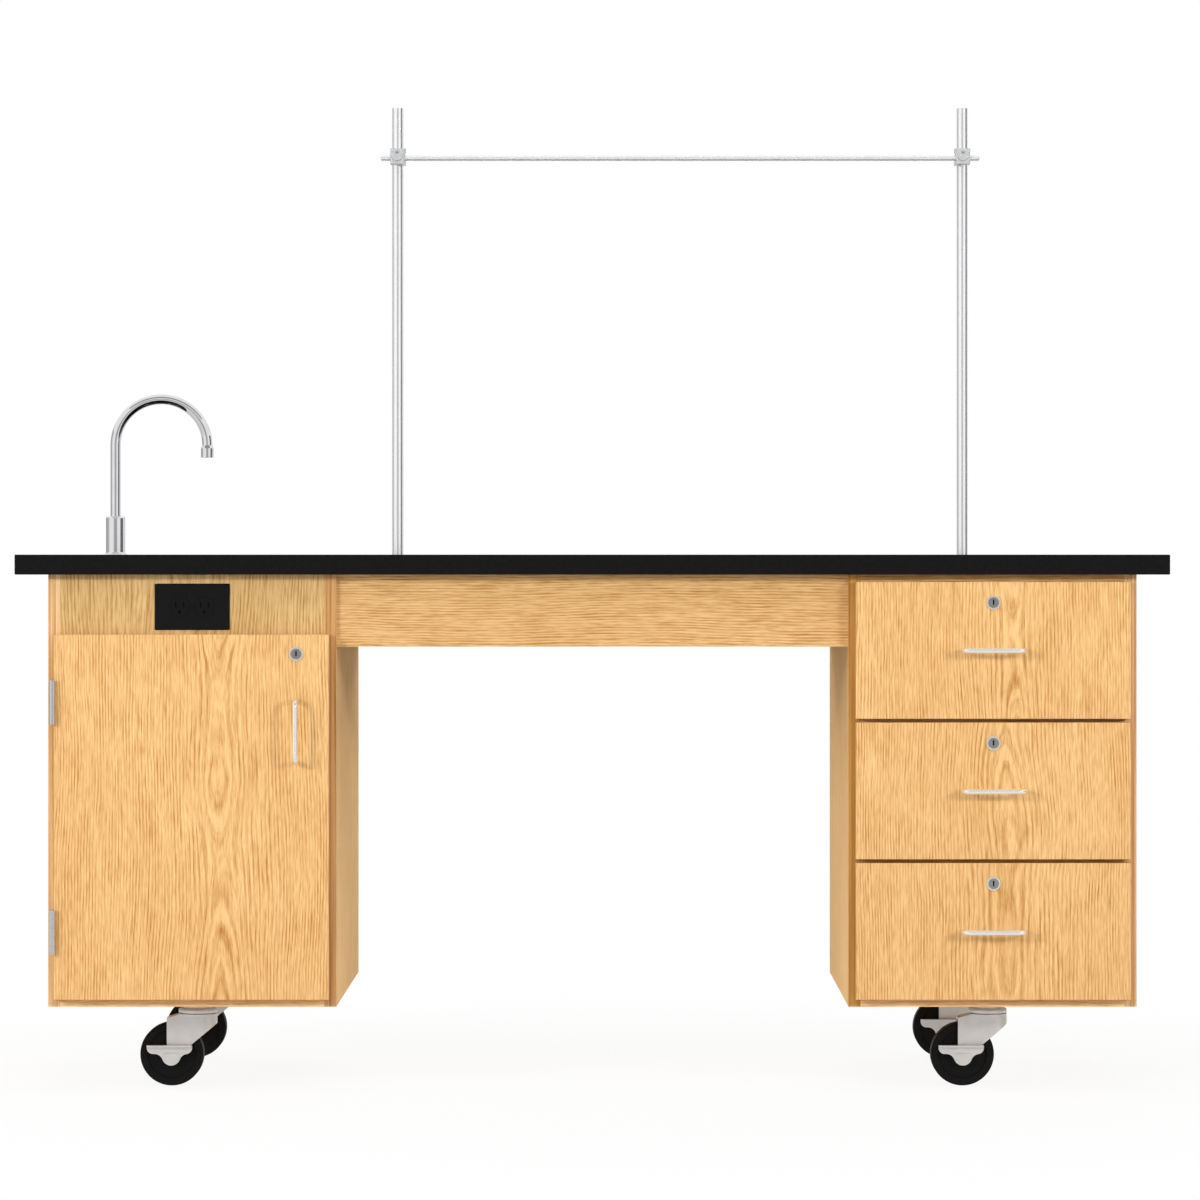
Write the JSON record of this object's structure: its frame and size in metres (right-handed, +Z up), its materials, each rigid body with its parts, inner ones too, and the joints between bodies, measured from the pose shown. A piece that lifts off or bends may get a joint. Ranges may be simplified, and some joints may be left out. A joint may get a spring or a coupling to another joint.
{
  "type": "mobile lab station",
  "caption": "Wheeled oak laboratory table with a black top, sink and gooseneck tap, outlet, locking door, locking drawers and a rod frame with a sliding crossbar.",
  "frame": {"origin": "on the floor, under the middle of the whole", "axes": "+X to the right as seen from the drawer side, +Y away from the viewer, +Z up"},
  "size_m": [1.8288, 0.7916, 1.6145],
  "materials": {
    "black_resin": "flat black laboratory top",
    "oak_veneer": "clear satin lacquer on oak veneer",
    "oak_case": "clear satin lacquer on oak veneer with solid edges",
    "birch_ply": "clear lacquered birch plywood",
    "black_sink": "moulded black sink resin",
    "stainless": "satin stainless steel",
    "polished_steel": "polished",
    "cast_metal": "bead-blasted casting",
    "pull_steel": "satin nickel",
    "lock_metal": "polished nickel",
    "hinge_steel": "satin nickel",
    "zinc_steel": "zinc plated, satin",
    "black_wheel": "moulded black",
    "white_steel": "epoxy coated",
    "tank_plastic": "translucent white polyethylene",
    "hose_rubber": "flexible hose",
    "black_plate": "black moulded plastic",
    "black_outlet": "black moulded plastic"
  },
  "bodies": {
    "station": {"worktop": "black_resin", "left_cabinet_sides": "oak_case", "right_cabinet_sides": "oak_case", "cabinet_bottoms": "oak_case", "cabinet_backs": "oak_case", "left_cabinet_front_panel": "oak_veneer", "right_cabinet_rails": "oak_case", "knee_aprons": "oak_case", "sink_bowl": "black_sink", "sink_drain": "stainless", "water_tanks": "tank_plastic", "water_hoses": "hose_rubber", "tap_base": "polished_steel", "rod_sockets": "stainless", "upright_rods": "polished_steel", "outlet_plate": "black_plate", "outlet_receptacle": "black_outlet", "hinge_case_leaves": "hinge_steel", "case_runners": "white_steel", "caster_plates": "zinc_steel"},
    "crossbar": {"crossbar": "polished_steel", "rod_clamps": "cast_metal"},
    "clamp_screw_left": {"clamp_screw_left": "cast_metal"},
    "clamp_screw_right": {"clamp_screw_right": "cast_metal"},
    "tap_spout": {"tap_spout": "polished_steel"},
    "door": {"door_panel": "oak_veneer", "door_pull": "pull_steel", "door_lock_barrel": "lock_metal", "hinge_door_leaves": "hinge_steel"},
    "door_lock": {"door_lock_plug": "lock_metal"},
    "drawer_1": {"drawer_1_front": "oak_veneer", "drawer_1_box": "birch_ply", "drawer_1_pull": "pull_steel", "drawer_1_lock_barrel": "lock_metal", "drawer_1_runners": "white_steel"},
    "drawer_1_lock": {"drawer_1_lock_plug": "lock_metal"},
    "drawer_2": {"drawer_2_front": "oak_veneer", "drawer_2_box": "birch_ply", "drawer_2_pull": "pull_steel", "drawer_2_lock_barrel": "lock_metal", "drawer_2_runners": "white_steel"},
    "drawer_2_lock": {"drawer_2_lock_plug": "lock_metal"},
    "drawer_3": {"drawer_3_front": "oak_veneer", "drawer_3_box": "birch_ply", "drawer_3_pull": "pull_steel", "drawer_3_lock_barrel": "lock_metal", "drawer_3_runners": "white_steel"},
    "drawer_3_lock": {"drawer_3_lock_plug": "lock_metal"},
    "caster_front_left_swivel": {"caster_front_left_fork": "zinc_steel"},
    "caster_front_left_wheel": {"caster_front_left_wheel": "black_wheel"},
    "caster_front_left_brake": {"caster_front_left_brake": "zinc_steel"},
    "caster_back_left_swivel": {"caster_back_left_fork": "zinc_steel"},
    "caster_back_left_wheel": {"caster_back_left_wheel": "black_wheel"},
    "caster_back_left_brake": {"caster_back_left_brake": "zinc_steel"},
    "caster_front_right_swivel": {"caster_front_right_fork": "zinc_steel"},
    "caster_front_right_wheel": {"caster_front_right_wheel": "black_wheel"},
    "caster_front_right_brake": {"caster_front_right_brake": "zinc_steel"},
    "caster_back_right_swivel": {"caster_back_right_fork": "zinc_steel"},
    "caster_back_right_wheel": {"caster_back_right_wheel": "black_wheel"},
    "caster_back_right_brake": {"caster_back_right_brake": "zinc_steel"}
  },
  "joints": [
    {"name": "crossbar_height", "type": "slide", "parent": "station", "child": "crossbar", "axis": [0, 0, 1], "range_m": [-0.45, 0.06]},
    {"name": "clamp_screw_left_turn", "type": "hinge", "parent": "crossbar", "child": "clamp_screw_left", "pos_m": [-0.3334, 0.2166, 1.53625], "axis": [0, -1, 0], "range_deg": [0, 330]},
    {"name": "clamp_screw_right_turn", "type": "hinge", "parent": "crossbar", "child": "clamp_screw_right", "pos_m": [0.6264, 0.2166, 1.53625], "axis": [0, -1, 0], "range_deg": [0, 330]},
    {"name": "tap_swing", "type": "hinge", "parent": "station", "child": "tap_spout", "pos_m": [-0.8134, 0.24343, 0.85255], "axis": [0, 0, 1], "continuous": true},
    {"name": "door_swing", "type": "hinge", "parent": "station", "child": "door", "pos_m": [-0.8544, -0.36833, 0.2547], "axis": [0, 0, -1], "range_deg": [0, 255]},
    {"name": "door_lock_turn", "type": "hinge", "parent": "door", "child": "door_lock", "pos_m": [-0.4689, -0.36283, 0.6952], "axis": [0, -1, 0], "range_deg": [0, 90]},
    {"name": "drawer_1_slide", "type": "slide", "parent": "station", "child": "drawer_1", "axis": [0, -1, 0], "range_m": [0, 0.4]},
    {"name": "drawer_1_lock_turn", "type": "hinge", "parent": "drawer_1", "child": "drawer_1_lock", "pos_m": [0.635, -0.36283, 0.7766], "axis": [0, -1, 0], "range_deg": [0, 90]},
    {"name": "drawer_2_slide", "type": "slide", "parent": "station", "child": "drawer_2", "axis": [0, -1, 0], "range_m": [0, 0.4]},
    {"name": "drawer_2_lock_turn", "type": "hinge", "parent": "drawer_2", "child": "drawer_2_lock", "pos_m": [0.635, -0.36283, 0.55413], "axis": [0, -1, 0], "range_deg": [0, 90]},
    {"name": "drawer_3_slide", "type": "slide", "parent": "station", "child": "drawer_3", "axis": [0, -1, 0], "range_m": [0, 0.4]},
    {"name": "drawer_3_lock_turn", "type": "hinge", "parent": "drawer_3", "child": "drawer_3_lock", "pos_m": [0.635, -0.36283, 0.33167], "axis": [0, -1, 0], "range_deg": [0, 90]},
    {"name": "caster_front_left_swivel_turn", "type": "hinge", "parent": "station", "child": "caster_front_left_swivel", "pos_m": [-0.635, -0.22648, 0.1154], "axis": [0, 0, 1], "continuous": true},
    {"name": "caster_front_left_wheel_roll", "type": "hinge", "parent": "caster_front_left_swivel", "child": "caster_front_left_wheel", "pos_m": [-0.676, -0.22648, 0.0508], "axis": [0, 1, 0], "continuous": true},
    {"name": "caster_front_left_brake_press", "type": "hinge", "parent": "caster_front_left_swivel", "child": "caster_front_left_brake", "pos_m": [-0.676, -0.22648, 0.0508], "axis": [0, -1, 0], "range_deg": [0, 20]},
    {"name": "caster_back_left_swivel_turn", "type": "hinge", "parent": "station", "child": "caster_back_left_swivel", "pos_m": [-0.635, 0.25612, 0.1154], "axis": [0, 0, 1], "continuous": true},
    {"name": "caster_back_left_wheel_roll", "type": "hinge", "parent": "caster_back_left_swivel", "child": "caster_back_left_wheel", "pos_m": [-0.676, 0.25612, 0.0508], "axis": [0, 1, 0], "continuous": true},
    {"name": "caster_back_left_brake_press", "type": "hinge", "parent": "caster_back_left_swivel", "child": "caster_back_left_brake", "pos_m": [-0.676, 0.25612, 0.0508], "axis": [0, -1, 0], "range_deg": [0, 20]},
    {"name": "caster_front_right_swivel_turn", "type": "hinge", "parent": "station", "child": "caster_front_right_swivel", "pos_m": [0.635, -0.22648, 0.1154], "axis": [0, 0, 1], "continuous": true},
    {"name": "caster_front_right_wheel_roll", "type": "hinge", "parent": "caster_front_right_swivel", "child": "caster_front_right_wheel", "pos_m": [0.594, -0.22648, 0.0508], "axis": [0, 1, 0], "continuous": true},
    {"name": "caster_front_right_brake_press", "type": "hinge", "parent": "caster_front_right_swivel", "child": "caster_front_right_brake", "pos_m": [0.594, -0.22648, 0.0508], "axis": [0, -1, 0], "range_deg": [0, 20]},
    {"name": "caster_back_right_swivel_turn", "type": "hinge", "parent": "station", "child": "caster_back_right_swivel", "pos_m": [0.635, 0.25612, 0.1154], "axis": [0, 0, 1], "continuous": true},
    {"name": "caster_back_right_wheel_roll", "type": "hinge", "parent": "caster_back_right_swivel", "child": "caster_back_right_wheel", "pos_m": [0.594, 0.25612, 0.0508], "axis": [0, 1, 0], "continuous": true},
    {"name": "caster_back_right_brake_press", "type": "hinge", "parent": "caster_back_right_swivel", "child": "caster_back_right_brake", "pos_m": [0.594, 0.25612, 0.0508], "axis": [0, -1, 0], "range_deg": [0, 20]}
  ]
}
